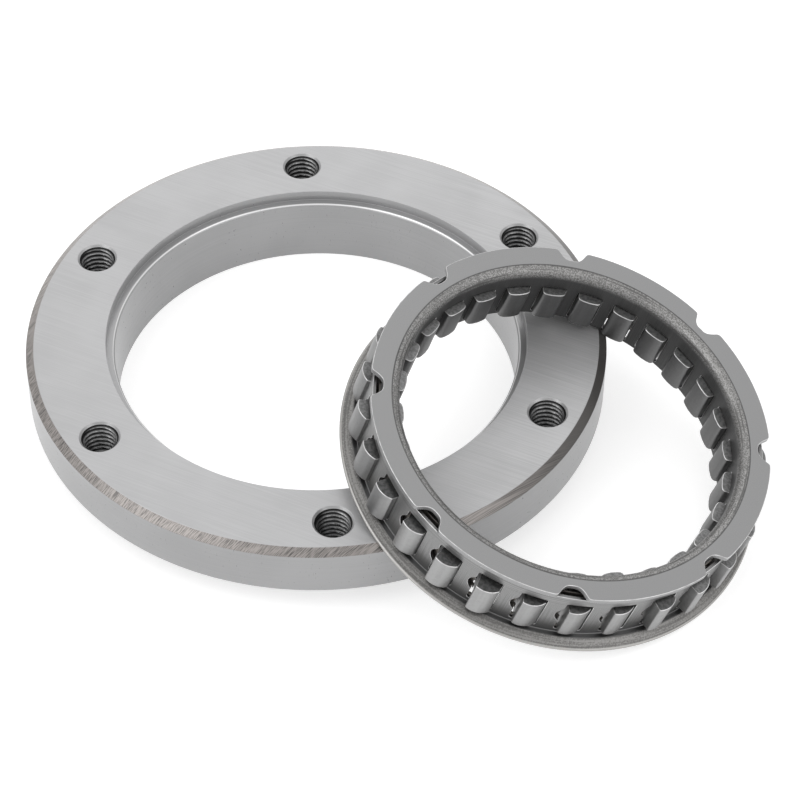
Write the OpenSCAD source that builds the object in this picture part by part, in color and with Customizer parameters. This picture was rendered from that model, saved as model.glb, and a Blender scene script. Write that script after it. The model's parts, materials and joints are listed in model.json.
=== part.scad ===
// Starter clutch: a flanged outer race ring, and the double cage of sprags that belongs in its
// bore, taken out and leaned on the ring. Origin: race axis, on the floor under the ring. +Z up.

/* [Outer race ring] */
// Diameter of the hardened race that the sprags run in
race_d = 88.88; // [86:0.02:89.5]
// Radial thickness of the ring, from the race to the flange's outside
ring_wall = 19.31; // [17:0.01:22]
// Whole height of the ring, from the floor to its top face
ring_h = 18; // [15:0.5:24]
// Thickness of the bolting flange
flange_h = 12.25; // [9:0.25:14]
// Radial thickness of the pilot boss under the flange
pilot_wall = 5.56; // [4:0.01:6]
// Width of the counterbore's floor, which takes the cage's rim
counterbore_step = 1.81; // [1.5:0.01:2.5]
// Depth of the counterbore below the top face
counterbore_h = 2.5; // [1.5:0.1:4]
// Chamfer between the counterbore's floor and the race
race_chamfer = 0.5; // [0.2:0.05:0.8]
// Radial width of the chamfer round the ring's top edge
ring_chamfer_w = 1.8; // [0.5:0.1:2]
// Height of the chamfer round the ring's top edge
ring_chamfer_h = 1.35; // [0.5:0.1:2]
// Chamfer on the edges underneath
under_chamfer = 0.6; // [0.2:0.1:1]

/* [Bolt holes] */
// Number of threaded holes in the flange
hole_count = 6; // [4:1:8]
// From the race to the middle of a threaded hole
hole_out = 10.76; // [10:0.01:12.5]
// Nominal diameter of the thread
thread_d = 8; // [6:0.5:8]
// Diameter of the countersink at the mouth of each hole
countersink_d = 8.9; // [8.6:0.1:9.4]
// Direction of the first hole, anticlockwise from +X
first_hole_angle = 35.2; // [0:0.1:60]

/* [Cages] */
// Height of the double cage, from its rim to the top of its flange
cage_h = 17; // [16:0.1:20]
// Inside diameter of the inner cage
cage_bore_d = 73.9; // [73:0.1:74.5]
// Room between the inner cage's wall and the outer cage's wall
wall_space = 4.1; // [3.9:0.05:4.3]
// How far the inner cage's flange stands out past the outer cage's wall
flange_overhang = 1; // [0.7:0.05:1.4]
// How far the flared rim stands out past the outer cage's wall
rim_flare = 3.5; // [2.9:0.05:3.55]
// Thickness of the outer cage's sheet
outer_sheet = 0.75; // [0.6:0.05:0.8]
// Thickness of the inner cage's sheet
inner_sheet = 0.8; // [0.6:0.05:1]
// Thickness of the inner cage's flange
cage_flange_t = 1.2; // [0.8:0.1:1.6]
// Radius of the bend between the flange and the inner wall
bend_r = 2.1; // [1.5:0.1:2.5]
// Height of the inner cage's lower edge above the rim
inner_cage_foot = 1.9; // [1.5:0.05:2]
// Gap between the flange and the outer cage's upper edge
cage_gap = 0.9; // [0.3:0.1:1.2]

/* [Rim and notches] */
// Height of the ledge at the foot of the outer cage's wall
ledge_h = 1.55; // [1.3:0.05:1.7]
// Width of the ledge, from the wall to the flare
ledge_w = 1; // [0.6:0.1:1.4]
// Height of the rim's rolled bead
bead_h = 0.7; // [0.5:0.05:0.9]
// Number of notches in the flange
notch_count = 8; // [6:1:10]
// Width of a notch at its mouth
notch_w = 6.4; // [5:0.1:7]
// Depth of a notch
notch_depth = 2.75; // [2:0.05:3]
// Width of a notch's floor, as a share of its width at the mouth
notch_floor = 0.78; // [0.7:0.01:0.9]
// Radius of the corners at a notch's floor
notch_floor_fillet = 1.9; // [1:0.1:1.9]
// Radius of the corners at a notch's mouth
notch_mouth_fillet = 1; // [0.5:0.1:1]
// Direction of the first notch, in the cage's own frame
notch_angle = -57; // [-80:0.5:80]

/* [Sprags and windows] */
// Number of sprags
sprag_count = 28; // [25:1:28]
// Length of a sprag along the cage's axis
sprag_length = 8.5; // [8:0.1:8.7]
// Height of a sprag's lower end above the rim
sprag_foot = 2.9; // [2.8:0.05:3.1]
// Width of a sprag's outer head
outer_head_w = 4.8; // [4.4:0.1:5]
// Width of a sprag's inner head
inner_head_w = 5.2; // [4.8:0.1:5.3]
// How far a sprag's outer cam stands out of the outer cage's wall
outer_tip_out = 2.25; // [2:0.05:2.4]
// How far a sprag's inner cam stands into the inner cage's bore
inner_tip_in = 1.95; // [1.55:0.05:2.15]
// Radius of the outer cam
outer_cam_r = 4.3; // [4:0.1:6]
// Radius of the inner cam
inner_cam_r = 9; // [7:0.5:12]
// How far the outer cam's highest point lies off the middle of its head
outer_cam_offset = 1; // [0.5:0.1:1.2]
// How far the inner cam's highest point lies off the middle of its head
inner_cam_offset = 0.3; // [0:0.1:0.6]
// Radius of the inner head's corners
inner_corner = 0.9; // [0.3:0.1:0.9]
// How far the outer head sits off the middle of its window
head_offset = 0.25; // [0:0.05:0.25]
// Direction of the first sprag, in the cage's own frame
first_sprag_angle = -117.45; // [-120:0.05:-90]
// Side clearance of a sprag's head in the outer cage's window
outer_window_gap = 0.4; // [0.4:0.05:0.5]
// Side clearance of a sprag's head in the inner cage's window
inner_window_gap = 0.22; // [0.2:0.01:0.3]
// End clearance of a sprag in the inner cage's window
window_end_gap = 0.25; // [0.1:0.05:0.3]
// Height of the outer cage's windows above the sprags' upper ends
window_headroom = 1.1; // [0.5:0.1:1.6]
// How far the scallop in a window's side bulges
scallop_depth = 1.25; // [0.8:0.05:1.5]
// Length of the scallop
scallop_h = 4.4; // [3.6:0.1:5.4]
// Height of the scallop's middle above the rim
scallop_z = 8.1; // [7:0.1:8.5]

/* [Ribbon spring] */
// Thickness of the ribbon
ribbon_t = 0.2; // [0.15:0.05:0.3]
// Room between the ribbon and the outer cage's wall
ribbon_gap = 0.55; // [0.45:0.05:0.75]
// Height of the ribbon
ribbon_h = 13.6; // [12:0.1:13.8]
// Height of the ribbon's plain edge above and below its windows
ribbon_edge = 1; // [0.6:0.1:1.4]
// Room in the ribbon's window beside a sprag, on the tongue's side
tongue_room = 0.8; // [0.8:0.05:1.2]
// Room in the ribbon's window beside a sprag, on the other side
ribbon_room = 0.3; // [0.3:0.1:0.8]
// Height of a tongue
tongue_h = 1.2; // [1:0.1:1.6]
// Height of the tongues' lower edge above the rim
tongue_z = 5.1; // [4.5:0.1:6]
// How far a tongue reaches into its window
tongue_reach = 0.5; // [0.3:0.05:0.6]
// How far a tongue's tip bends outwards
tongue_rise = 0.35; // [0.1:0.05:0.4]

/* [Leaning pose] */
// Angle between the cage's axis and the ring's axis
lean = 17.1; // [12:0.1:18]
// Direction from the ring to the cage, anticlockwise from +X
lean_azimuth = -33.1; // [-90:0.1:90]
// Level clearance between the ring and the leaning cage; the shortest distance is about 0.3 of it
rest_gap = 0.95; // [0.1:0.05:1.2]

/* [Hidden] */
$fn = 96;
SPRAGS = [for (i = [1:sprag_count]) str("sprag_", i < 10 ? "0" : "", i)];

// How far the first sprags have slid outwards in their windows. The others sit at 0
SPRAG_SLIDES = [0.5, 0, 0.4, 0.5, -0.7, -0.9, -1];

cut_over = 1;                                   // how far cutters run past what they cut
ring_d = race_d + 2 * ring_wall;
pilot_d = race_d + 2 * pilot_wall;
counterbore_d = race_d + 2 * counterbore_step;
hole_pcd = race_d + 2 * hole_out;               // pitch circle of the threaded holes
ring_r = ring_d / 2;
hole_r = thread_d / 2;
bore_r = cage_bore_d / 2;
inner_wall_r = bore_r + inner_sheet;            // outer face of the inner cage's wall
outer_wall_in_r = inner_wall_r + wall_space;    // inner face of the outer cage's wall
outer_wall_r = outer_wall_in_r + outer_sheet;
rim_r = outer_wall_r + rim_flare;
cage_r = outer_wall_r + flange_overhang;
outer_tip_r = outer_wall_r + outer_tip_out;
inner_tip_r = bore_r - inner_tip_in;
ribbon_r = outer_wall_in_r - ribbon_gap;        // outer face of the ribbon
outer_cage_h = cage_h - cage_flange_t - cage_gap;
sprag_pitch = 360 / sprag_count;
pivot_r = outer_wall_r - outer_sheet / 2;       // a sprag rocks about the middle of the outer cage's sheet
sprag_top = sprag_foot + sprag_length;
head_depth = 1.2;                               // from the pivot in to where the outer head ends
inner_head_depth = 0.9;                         // from the inner wall out to where the inner head ends
flank_r = pivot_r - head_depth;
inner_flank_r = inner_wall_r + inner_head_depth;
waist_pinch = 0.35;                             // how far the waist is drawn in on each side
waist_fillet = 2;
flank_fillet = 0.6;
cam_edge_fillet = 0.35;
ribbon_foot = (outer_cage_h - ribbon_h + inner_cage_foot) / 2;
bead_r = bead_h / 2;                            // radius of the rim's bead, whose lowest point touches the floor
lift = (rim_r - bead_r) * sin(lean) + bead_r * (1 - cos(lean));

// Point at a radius and an angle
function polar(r, a) = [r * cos(a), r * sin(a)];

// Points of a fillet of radius r, at corner p between its neighbours a and b
function fillet_points(a, p, b, r) =
    let (u = (a - p) / norm(a - p),
         v = (b - p) / norm(b - p),
         half = acos(max(-1, min(1, u * v))) / 2,
         m = (u + v) / norm(u + v),
         c = p + m * r / sin(half),
         turn = 90 - half,
         side = sign(u.y * v.x - u.x * v.y),
         start = atan2(-m.y, -m.x))
    r <= 0 ? [p] : [for (k = [-1:1:1]) c + polar(r, start + side * k * turn)];

// Outline through corners [x, y, fillet radius]
function rounded(corners) =
    let (n = len(corners), xy = [for (c = corners) [c.x, c.y]])
    [for (i = [0:n - 1]) each fillet_points(xy[(i + n - 1) % n], xy[i], xy[(i + 1) % n], corners[i].z)];

// Radius of the ring's outer surface at height z, near its top edge
function ring_radius_at(z) = min(ring_r, ring_r - ring_chamfer_w + (ring_h - z) * ring_chamfer_w / ring_chamfer_h);

// Distance between the two axes at which the cage's circle of radius r, at height b, clears the ring
function stand_off(r, b) = max([for (a = [0:0.5:180])
    let (z = lift - r * cos(a) * sin(lean) + b * cos(lean),
         reach = ring_radius_at(z) + rest_gap,
         y = r * sin(a))
    (z < ring_h && y < reach)
        ? sqrt(reach * reach - y * y) - r * cos(a) * cos(lean) - b * sin(lean) : 0]);
cage_x = max(
    stand_off(rim_r, 0),
    stand_off(rim_r, bead_h),
    stand_off(inner_wall_r, inner_cage_foot),
    stand_off(bore_r, inner_cage_foot));

// From the cage's own frame, with its rim at z = 0, to where it leans on the ring
module leaning() {
    rotate([0, 0, lean_azimuth])
        translate([cage_x, 0, lift])
            rotate([0, lean, 0])
                children();
}

// Hardened ring with the race, the bolting flange and the pilot boss
module outer_race() {
    race_r = race_d / 2;
    counter_r = counterbore_d / 2;
    pilot_r = pilot_d / 2;
    flange_z = ring_h - flange_h;
    floor_z = ring_h - counterbore_h;
    sink = countersink_d / 2 - hole_r;
    color([0.79, 0.79, 0.80])
    difference() {
        rotate_extrude($fn = 180)
            polygon([
                [race_r, 0],
                [pilot_r - under_chamfer, 0],
                [pilot_r, under_chamfer],
                [pilot_r, flange_z],
                [ring_r - under_chamfer, flange_z],
                [ring_r, flange_z + under_chamfer],
                [ring_r, ring_h - ring_chamfer_h],
                [ring_r - ring_chamfer_w, ring_h],
                [counter_r, ring_h],
                [counter_r, floor_z],
                [race_r + race_chamfer, floor_z],
                [race_r, floor_z - race_chamfer]]);
        for (i = [0:hole_count - 1])
            rotate([0, 0, first_hole_angle + i * 360 / hole_count])
                translate([hole_pcd / 2, 0, 0]) {
                    translate([0, 0, flange_z - cut_over])
                        cylinder(h = flange_h + 2 * cut_over, r = hole_r);
                    translate([0, 0, ring_h - sink])
                        cylinder(h = sink + cut_over, r1 = hole_r, r2 = hole_r + sink + cut_over);
                    translate([0, 0, flange_z - cut_over])
                        cylinder(h = sink + cut_over, r1 = hole_r + sink + cut_over, r2 = hole_r);
                }
    }
}

// A window in a cage's wall, seen from outside: width w from height z0 to z1, with its scallop if bulge > 0
module window(w, z0, z1, r, bulge = 0) {
    scallop_r = (bulge * bulge + scallop_h * scallop_h / 4) / (2 * max(bulge, 0.1));
    translate([r - cut_over - outer_sheet, 0, 0])
        rotate([90, 0, 90])
            linear_extrude(outer_sheet + inner_sheet + 3 * cut_over) {
                translate([-w / 2, z0])
                    square([w, z1 - z0]);
                if (bulge > 0)
                    intersection() {
                        translate([scallop_r - w / 2 - bulge, scallop_z])
                            circle(scallop_r);
                        translate([-w / 2 - bulge, scallop_z - scallop_h / 2])
                            square([bulge + w / 2, scallop_h]);
                    }
            }
}

// Outer cage: a drawn wall with a window for each sprag, a ledge and a flared, beaded rim
module outer_cage() {
    ledge_r = outer_wall_r + ledge_w;
    ledge_under = ledge_h - outer_sheet;
    window_w = outer_head_w + 2 * outer_window_gap;
    color([0.56, 0.56, 0.56])
    leaning()
    difference() {
        rotate_extrude($fn = 180)
            polygon(concat([
                [outer_wall_in_r, outer_cage_h],
                [outer_wall_in_r, ledge_under],
                [ledge_r - ledge_w / 4, ledge_under]],
                [for (a = [-90:30:60]) [rim_r - bead_r, bead_r] + polar(bead_r, a)], [
                [ledge_r, ledge_h],
                [outer_wall_r, ledge_h],
                [outer_wall_r, outer_cage_h]]));
        for (i = [0:sprag_count - 1])
            rotate([0, 0, first_sprag_angle + i * sprag_pitch])
                window(window_w, sprag_foot - window_end_gap, sprag_top + window_headroom, outer_wall_r, scallop_depth);
    }
}

// Inner cage: a bored wall with a window for each sprag, bent outwards into the notched flange
module inner_cage() {
    under_z = cage_h - cage_flange_t;
    inner_bend = 0.8;                           // radius of the bend's hollow side
    mouth_inset = 0.15;                         // from the flange's edge in to a notch's mouth corners
    mouth_r = cage_r - mouth_inset;
    floor_r = cage_r - notch_depth;
    notch_half = notch_w / 2;
    floor_half = notch_floor * notch_half;
    window_w = inner_head_w + 2 * inner_window_gap;
    color([0.60, 0.60, 0.60])
    leaning()
    difference() {
        rotate_extrude($fn = 180)
            polygon(concat([
                [bore_r, inner_cage_foot],
                [inner_wall_r, inner_cage_foot]],
                [for (a = [180:-30:90]) [inner_wall_r + inner_bend, under_z - inner_bend] + polar(inner_bend, a)], [
                [cage_r, under_z],
                [cage_r, cage_h]],
                [for (a = [90:15:180]) [bore_r + bend_r, cage_h - bend_r] + polar(bend_r, a)]));
        for (i = [0:notch_count - 1])
            rotate([0, 0, notch_angle + i * 360 / notch_count])
                translate([0, 0, under_z - cut_over])
                    linear_extrude(cage_flange_t + 2 * cut_over)
                        polygon(rounded([
                            [cage_r + cut_over, -notch_w, 0],
                            [mouth_r, -notch_w, 0],
                            [mouth_r, -notch_half, notch_mouth_fillet],
                            [floor_r, -floor_half, notch_floor_fillet],
                            [floor_r, floor_half, notch_floor_fillet],
                            [mouth_r, notch_half, notch_mouth_fillet],
                            [mouth_r, notch_w, 0],
                            [cage_r + cut_over, notch_w, 0]]));
        for (i = [0:sprag_count - 1])
            rotate([0, 0, first_sprag_angle + i * sprag_pitch])
                window(window_w, sprag_foot - window_end_gap, sprag_top + window_end_gap, inner_wall_r);
    }
}

// Outline of a sprag. X is the radius through the middle of its windows, Y runs anticlockwise
function outer_cam() =
    let (c = [outer_tip_r - outer_cam_r, head_offset - outer_cam_offset],
         a0 = asin((outer_cam_offset - outer_head_w / 2) / outer_cam_r),
         a1 = asin((outer_cam_offset + outer_head_w / 2) / outer_cam_r))
    [for (k = [0:6]) concat(c + polar(outer_cam_r, a0 + (a1 - a0) * k / 6), k == 0 ? cam_edge_fillet : 0)];
function inner_cam() =
    let (c = [inner_tip_r + inner_cam_r, inner_cam_offset],
         a0 = asin((inner_head_w / 2 - inner_cam_offset) / inner_cam_r),
         a1 = asin((-inner_head_w / 2 - inner_cam_offset) / inner_cam_r))
    [for (k = [0:4]) let (a = a0 + (a1 - a0) * k / 4)
        concat(c + inner_cam_r * [-cos(a), sin(a)], (k == 0 || k == 4) ? inner_corner : 0)];
function waist(a, b, side) =
    let (across = (b - a) / norm(b - a), mid = (a + b) / 2)
    [mid.x - side * waist_pinch * across.y, mid.y + side * waist_pinch * across.x, waist_fillet];
function sprag_outline() =
    let (right = [[flank_r, head_offset + outer_head_w / 2], [inner_flank_r, inner_head_w / 2]],
         left = [[inner_flank_r, -inner_head_w / 2], [flank_r, head_offset - outer_head_w / 2]])
    rounded(concat(
        outer_cam(),
        [concat(right[0], flank_fillet), waist(right[0], right[1], 1), concat(right[1], flank_fillet)],
        inner_cam(),
        [concat(left[0], flank_fillet), waist(left[0], left[1], 1), concat(left[1], flank_fillet)]));

// One sprag, the wedge that locks the two races together
module sprag(i) {
    slide = i < len(SPRAG_SLIDES) ? SPRAG_SLIDES[i] : 0;
    color([0.68, 0.68, 0.68])
    leaning()
        rotate([0, 0, first_sprag_angle + i * sprag_pitch])
            translate([slide, 0, sprag_foot])
                linear_extrude(sprag_length)
                    polygon(sprag_outline());
}

// Energising spring: a thin ribbon that the sprags pass through, with a tongue that presses on each
module ribbon_spring() {
    head_half = outer_head_w / 2;
    left_edge = head_half - head_offset + tongue_room;
    right_edge = head_half + head_offset + ribbon_room;
    mid_r = ribbon_r - ribbon_t / 2;
    half_t = ribbon_t / 2;
    tongue_root = 0.6;                          // how far a tongue's root lies on the ribbon
    color([0.72, 0.70, 0.66])
    leaning()
    union() {
        difference() {
            translate([0, 0, ribbon_foot])
                rotate_extrude($fn = 180)
                    translate([ribbon_r - ribbon_t, 0])
                        square([ribbon_t, ribbon_h]);
            for (i = [0:sprag_count - 1])
                rotate([0, 0, first_sprag_angle + i * sprag_pitch])
                    translate([ribbon_r - 2 * cut_over, -left_edge, ribbon_foot + ribbon_edge])
                        cube([3 * cut_over, left_edge + right_edge, ribbon_h - 2 * ribbon_edge]);
        }
        for (i = [0:sprag_count - 1])
            rotate([0, 0, first_sprag_angle + i * sprag_pitch - asin(left_edge / mid_r)])
                translate([0, 0, tongue_z])
                    linear_extrude(tongue_h)
                        polygon([
                            [mid_r - half_t, -tongue_root],
                            [mid_r + half_t, -tongue_root],
                            [mid_r + half_t, 0],
                            [mid_r + tongue_rise + half_t, tongue_reach],
                            [mid_r + tongue_rise - half_t, tongue_reach],
                            [mid_r - half_t, ribbon_t]]);
    }
}

outer_race();
outer_cage();
inner_cage();
ribbon_spring();
for (i = [0:sprag_count - 1]) sprag(i);
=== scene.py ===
"""Starter clutch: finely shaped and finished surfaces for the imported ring, cages, ribbon and sprags.

Every size is in metres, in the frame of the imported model. The leaning cage has its own frame, which
is read from its joints: its origin is the middle of the rim's underside, and its Z is the cage's axis.
"""
import json
import math

import bpy
import numpy as np
from mathutils import Matrix


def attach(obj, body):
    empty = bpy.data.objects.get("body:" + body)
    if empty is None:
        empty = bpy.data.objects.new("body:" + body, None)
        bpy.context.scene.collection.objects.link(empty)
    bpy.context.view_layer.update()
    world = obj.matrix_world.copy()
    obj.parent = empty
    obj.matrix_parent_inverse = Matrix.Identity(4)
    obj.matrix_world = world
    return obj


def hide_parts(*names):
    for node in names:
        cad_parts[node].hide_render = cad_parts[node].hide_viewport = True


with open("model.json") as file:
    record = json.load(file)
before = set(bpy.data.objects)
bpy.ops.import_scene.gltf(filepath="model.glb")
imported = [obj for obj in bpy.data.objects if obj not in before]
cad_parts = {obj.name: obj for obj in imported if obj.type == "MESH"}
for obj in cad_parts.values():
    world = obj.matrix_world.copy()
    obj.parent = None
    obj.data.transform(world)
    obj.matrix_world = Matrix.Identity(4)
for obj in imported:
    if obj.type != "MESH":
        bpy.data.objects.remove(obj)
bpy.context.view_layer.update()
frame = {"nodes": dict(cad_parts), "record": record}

bl_info = {
    "name": "Starter clutch",
    "version": (1, 0, 0),
    "blender": (4, 5, 0),
    "location": "3D View > Sidebar > Clutch",
    "description": "Builds a starter clutch: race ring, two cages, ribbon spring and sprags",
    "category": "Add Mesh",
}

MM = 0.001
JOINTS = {joint["name"]: joint for joint in frame["record"]["behaviour"]["joints"]}
SPRAGS = sorted(name for name in frame["record"]["behaviour"]["bodies"] if name.startswith("sprag_"))


def length_mm(label, mm, text):
    """A length whose default is given in millimetres."""
    return bpy.props.FloatProperty(
        name=label, description=text, default=mm * MM, min=0, precision=5, unit="LENGTH")


def colour_rgb(label, rgb, text):
    """A colour of a finish."""
    return bpy.props.FloatVectorProperty(
        name=label, description=text, default=rgb, min=0, max=1, size=3, subtype="COLOR")


def angle_deg(label, degrees, text):
    """An angle whose default is given in degrees."""
    return bpy.props.FloatProperty(
        name=label, description=text, default=math.radians(degrees), subtype="ANGLE")


def number_of(label, count, text):
    """How many there are of a feature."""
    return bpy.props.IntProperty(name=label, description=text, default=count, min=1)


def group_of(kind, label, text):
    """A group of settings."""
    return bpy.props.PointerProperty(type=kind, name=label, description=text)


class RingSizes(bpy.types.PropertyGroup):
    """Sizes of the outer race ring"""
    outside_r: length_mm("Outside radius", 63.75, "Outer radius of the bolting flange")
    height: length_mm("Height", 18, "Height of the ring")
    flange_h: length_mm("Flange thickness", 12.25, "Thickness of the bolting flange")
    pilot_r: length_mm("Pilot radius", 50, "Radius of the boss under the flange")
    race_r: length_mm("Race radius", 44.44, "Radius of the race that the sprags run in")
    counter_r: length_mm("Counterbore radius", 46.25, "Radius of the counterbore")
    counter_h: length_mm("Counterbore depth", 2.5, "Depth of the counterbore")
    race_chamfer: length_mm("Race chamfer", 0.5, "Chamfer between the counterbore and the race")
    chamfer_w: length_mm("Chamfer width", 1.8, "Radial width of the chamfer round the top edge")
    chamfer_h: length_mm("Chamfer height", 1.35, "Height of the chamfer round the top edge")
    under_chamfer: length_mm("Lower chamfer", 0.6, "Chamfer on the edges underneath")
    edge_round: length_mm("Edge rounding", 0.14, "Radius that the tumbled edges have")
    hole_count: number_of("Holes", 6, "Number of threaded holes")
    hole_pitch_r: length_mm("Hole circle radius", 55.2, "Radius of the circle of threaded holes")
    hole_r: length_mm("Hole radius", 4, "Nominal radius of the thread")
    countersink: length_mm("Countersink", 0.45, "Depth and width of each hole's countersink")
    first_hole: angle_deg("First hole", 35.2, "Direction of the first hole")
    thread_pitch: length_mm("Thread pitch", 1.25, "Distance between the thread's ridges")
    thread_depth: length_mm("Thread depth", 0.68, "Height of the thread's ridges")


class CageSizes(bpy.types.PropertyGroup):
    """Sizes of the two sheet cages"""
    height: length_mm("Height", 17, "From the rim to the top of the flange")
    rim_r: length_mm("Rim radius", 46.1, "Radius over the flared rim")
    flange_r: length_mm("Flange radius", 43.6, "Radius of the inner cage's flange")
    outer_wall_r: length_mm("Outer wall radius", 42.6, "Outer radius of the outer cage's wall")
    outer_sheet: length_mm("Outer sheet", 0.75, "Thickness of the outer cage's sheet")
    bore_r: length_mm("Bore radius", 36.95, "Inner radius of the inner cage")
    inner_sheet: length_mm("Inner sheet", 0.8, "Thickness of the inner cage's sheet")
    flange_t: length_mm("Flange thickness", 1.2, "Thickness of the inner cage's flange")
    bend_r: length_mm("Bend radius", 2.1, "Radius of the bend above the bore")
    hollow_r: length_mm("Hollow radius", 0.8, "Radius of the bend's hollow side")
    foot: length_mm("Foot height", 1.9, "Height of the inner cage's lower edge")
    top_gap: length_mm("Gap under the flange", 0.9, "From the outer cage's edge to the flange")
    ledge_h: length_mm("Ledge height", 1.55, "Height of the ledge at the wall's foot")
    ledge_w: length_mm("Ledge width", 1, "From the wall to the flare")
    bead_r: length_mm("Bead radius", 0.35, "Radius of the rim's rolled bead")
    notch_count: number_of("Notches", 8, "Number of notches")
    notch_angle: angle_deg("First notch", -57, "Direction of the first notch in the cage's frame")
    notch_depth: length_mm("Notch depth", 2.75, "Depth of a notch")
    notch_mouth: length_mm("Notch mouth", 3.2, "Half the width of a notch at its mouth")
    notch_zone: length_mm("Notch zone", 4.4, "Half the width that a notch and its rounded mouth take")
    notch_lip: length_mm("Notch lip", 0.7, "How far the rounding of a notch's mouth reaches")
    edge_round: length_mm("Edge rounding", 0.11, "Radius on the sheet's cut edges")


class WindowSizes(bpy.types.PropertyGroup):
    """Sizes of the windows in the cages and the ribbon"""
    outer_half: length_mm("Outer half width", 2.8, "Half the width of the outer cage's windows")
    inner_half: length_mm("Inner half width", 2.82, "Half the width of the inner cage's windows")
    foot: length_mm("Foot", 2.65, "Height of the windows' lower end")
    outer_top: length_mm("Outer top", 12.5, "Height of the outer windows' upper end")
    inner_top: length_mm("Inner top", 11.65, "Height of the inner windows' upper end")
    corner: length_mm("Corner", 0.45, "Radius of a window's corners")
    scallop_depth: length_mm("Scallop depth", 1.25, "How far the scallop in one side bulges")
    scallop_h: length_mm("Scallop length", 4.4, "Length of the scallop")
    scallop_z: length_mm("Scallop height", 8.1, "Height of the scallop's middle")


class RibbonSizes(bpy.types.PropertyGroup):
    """Sizes of the ribbon spring"""
    outer_r: length_mm("Outer radius", 41.3, "Radius of the ribbon's outer face")
    thickness: length_mm("Thickness", 0.2, "Thickness of the strip")
    foot: length_mm("Foot", 1.6, "Height of the ribbon's lower edge")
    height: length_mm("Height", 13.6, "Height of the ribbon")
    edge: length_mm("Edge", 1, "Height of the plain strip above and below the windows")
    left: length_mm("Left", 2.95, "From a window's middle to the tongue's root")
    right: length_mm("Right", 2.95, "From a window's middle to its other side")
    tongue_foot: length_mm("Tongue foot", 5.1, "Height of the tongues' lower edge")
    tongue_h: length_mm("Tongue height", 1.2, "Height of a tongue")
    tongue_reach: length_mm("Tongue reach", 0.5, "How far a tongue reaches into its window")
    tongue_rise: length_mm("Tongue rise", 0.35, "How far a tongue's tip bends outwards")


class SpragSizes(bpy.types.PropertyGroup):
    """Sizes of a sprag"""
    foot: length_mm("Foot", 2.9, "Height of a sprag's lower end")
    length: length_mm("Length", 8.5, "Length along the cage's axis")
    outer_w: length_mm("Outer head", 4.8, "Width of the outer head")
    inner_w: length_mm("Inner head", 5.2, "Width of the inner head")
    outer_tip_r: length_mm("Outer reach", 44.85, "Radius that the outer cam reaches")
    inner_tip_r: length_mm("Inner reach", 35, "Radius that the inner cam reaches")
    outer_cam_r: length_mm("Outer cam", 4.3, "Radius of the outer cam")
    inner_cam_r: length_mm("Inner cam", 9, "Radius of the inner cam")
    outer_offset: length_mm("Outer cam offset", 1, "Outer cam's high point, off the middle of its head")
    inner_offset: length_mm("Inner cam offset", 0.3, "Inner cam's high point, off the middle of its head")
    head_offset: length_mm("Head offset", 0.25, "Outer head's middle, off the middle of its window")
    inner_corner: length_mm("Inner corner", 0.9, "Radius of the inner head's corners")
    outer_corner: length_mm("Outer corner", 0.35, "Radius of the outer head's sharp corner")
    outer_flank_r: length_mm("Outer flank", 41.025, "Radius at which the outer head runs into the waist")
    inner_flank_r: length_mm("Inner flank", 38.65, "Radius at which the inner head runs into the waist")
    waist_pinch: length_mm("Waist", 0.35, "How far the waist is drawn in on each side")
    edge_round: length_mm("Edge rounding", 0.15, "Radius of the tumbled end edges")


class Finishes(bpy.types.PropertyGroup):
    """Colours of the steels"""
    ring: colour_rgb("Ring", (0.46, 0.46, 0.465), "Ground face of the ring")
    chamfer: colour_rgb("Chamfer", (0.09, 0.085, 0.082), "Unground chamfer of the ring")
    # Painted highlight: the chamfer's colour on the side away from the cage
    chamfer_highlight: colour_rgb("Highlighted chamfer", (0.34, 0.315, 0.30), "Chamfer where it is rubbed light")
    flange: colour_rgb("Flange", (0.34, 0.34, 0.342), "Flange of the inner cage")
    cage_wall: colour_rgb("Cage wall", (0.27, 0.27, 0.27), "Walls of the cages")
    cage_grain: colour_rgb("Cage grain", (0.265, 0.262, 0.258), "Grainy bend above the bore")
    flare: colour_rgb("Flare", (0.22, 0.216, 0.21), "Flared rim")
    sprag: colour_rgb("Sprag", (0.35, 0.35, 0.35), "Outer cams of the sprags")
    # Painted shade: the inner cams are coloured darker than the outer ones for the shade between the cages
    shaded_sprag_inside: colour_rgb("Sprag inside", (0.17, 0.17, 0.17), "Inner cams of the sprags")
    # Painted shade: the end faces are coloured darker than the cams for the shade they sit in
    shaded_sprag_end: colour_rgb("Sprag end", (0.24, 0.24, 0.24), "End faces of the sprags")
    # Painted highlight: the colour of the rounded edges, brighter than the steel
    edge: colour_rgb("Highlighted edge", (0.72, 0.72, 0.72), "Edges that are rubbed bright")
    # Painted shade: the thread's valley is coloured near black for the shade in the grooves
    valley: colour_rgb("Thread valley", (0.02, 0.02, 0.02), "Bottom of the thread, shadowed and dark")
    ribbon: colour_rgb("Ribbon", (0.20, 0.185, 0.17), "Ribbon spring")


class StageSettings(bpy.types.PropertyGroup):
    """Camera, light and floor"""
    camera_x: length_mm("Camera X", 18.47, "Camera's place along X")
    camera_back: length_mm("Camera back", 443.7, "Camera's distance in front of the ring's axis")
    camera_z: length_mm("Camera height", 461.6, "Camera's height above the floor")
    camera_tilt: angle_deg("Camera tilt", 46.317, "How far the camera looks down")
    camera_roll: angle_deg("Camera roll", 0.671, "How far the camera is rolled")
    lens: bpy.props.FloatProperty(
        name="Lens", description="Focal length on a 36 mm sensor", default=128.446)
    floor_size: length_mm("Floor size", 6000, "Side of the square floor")


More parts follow.
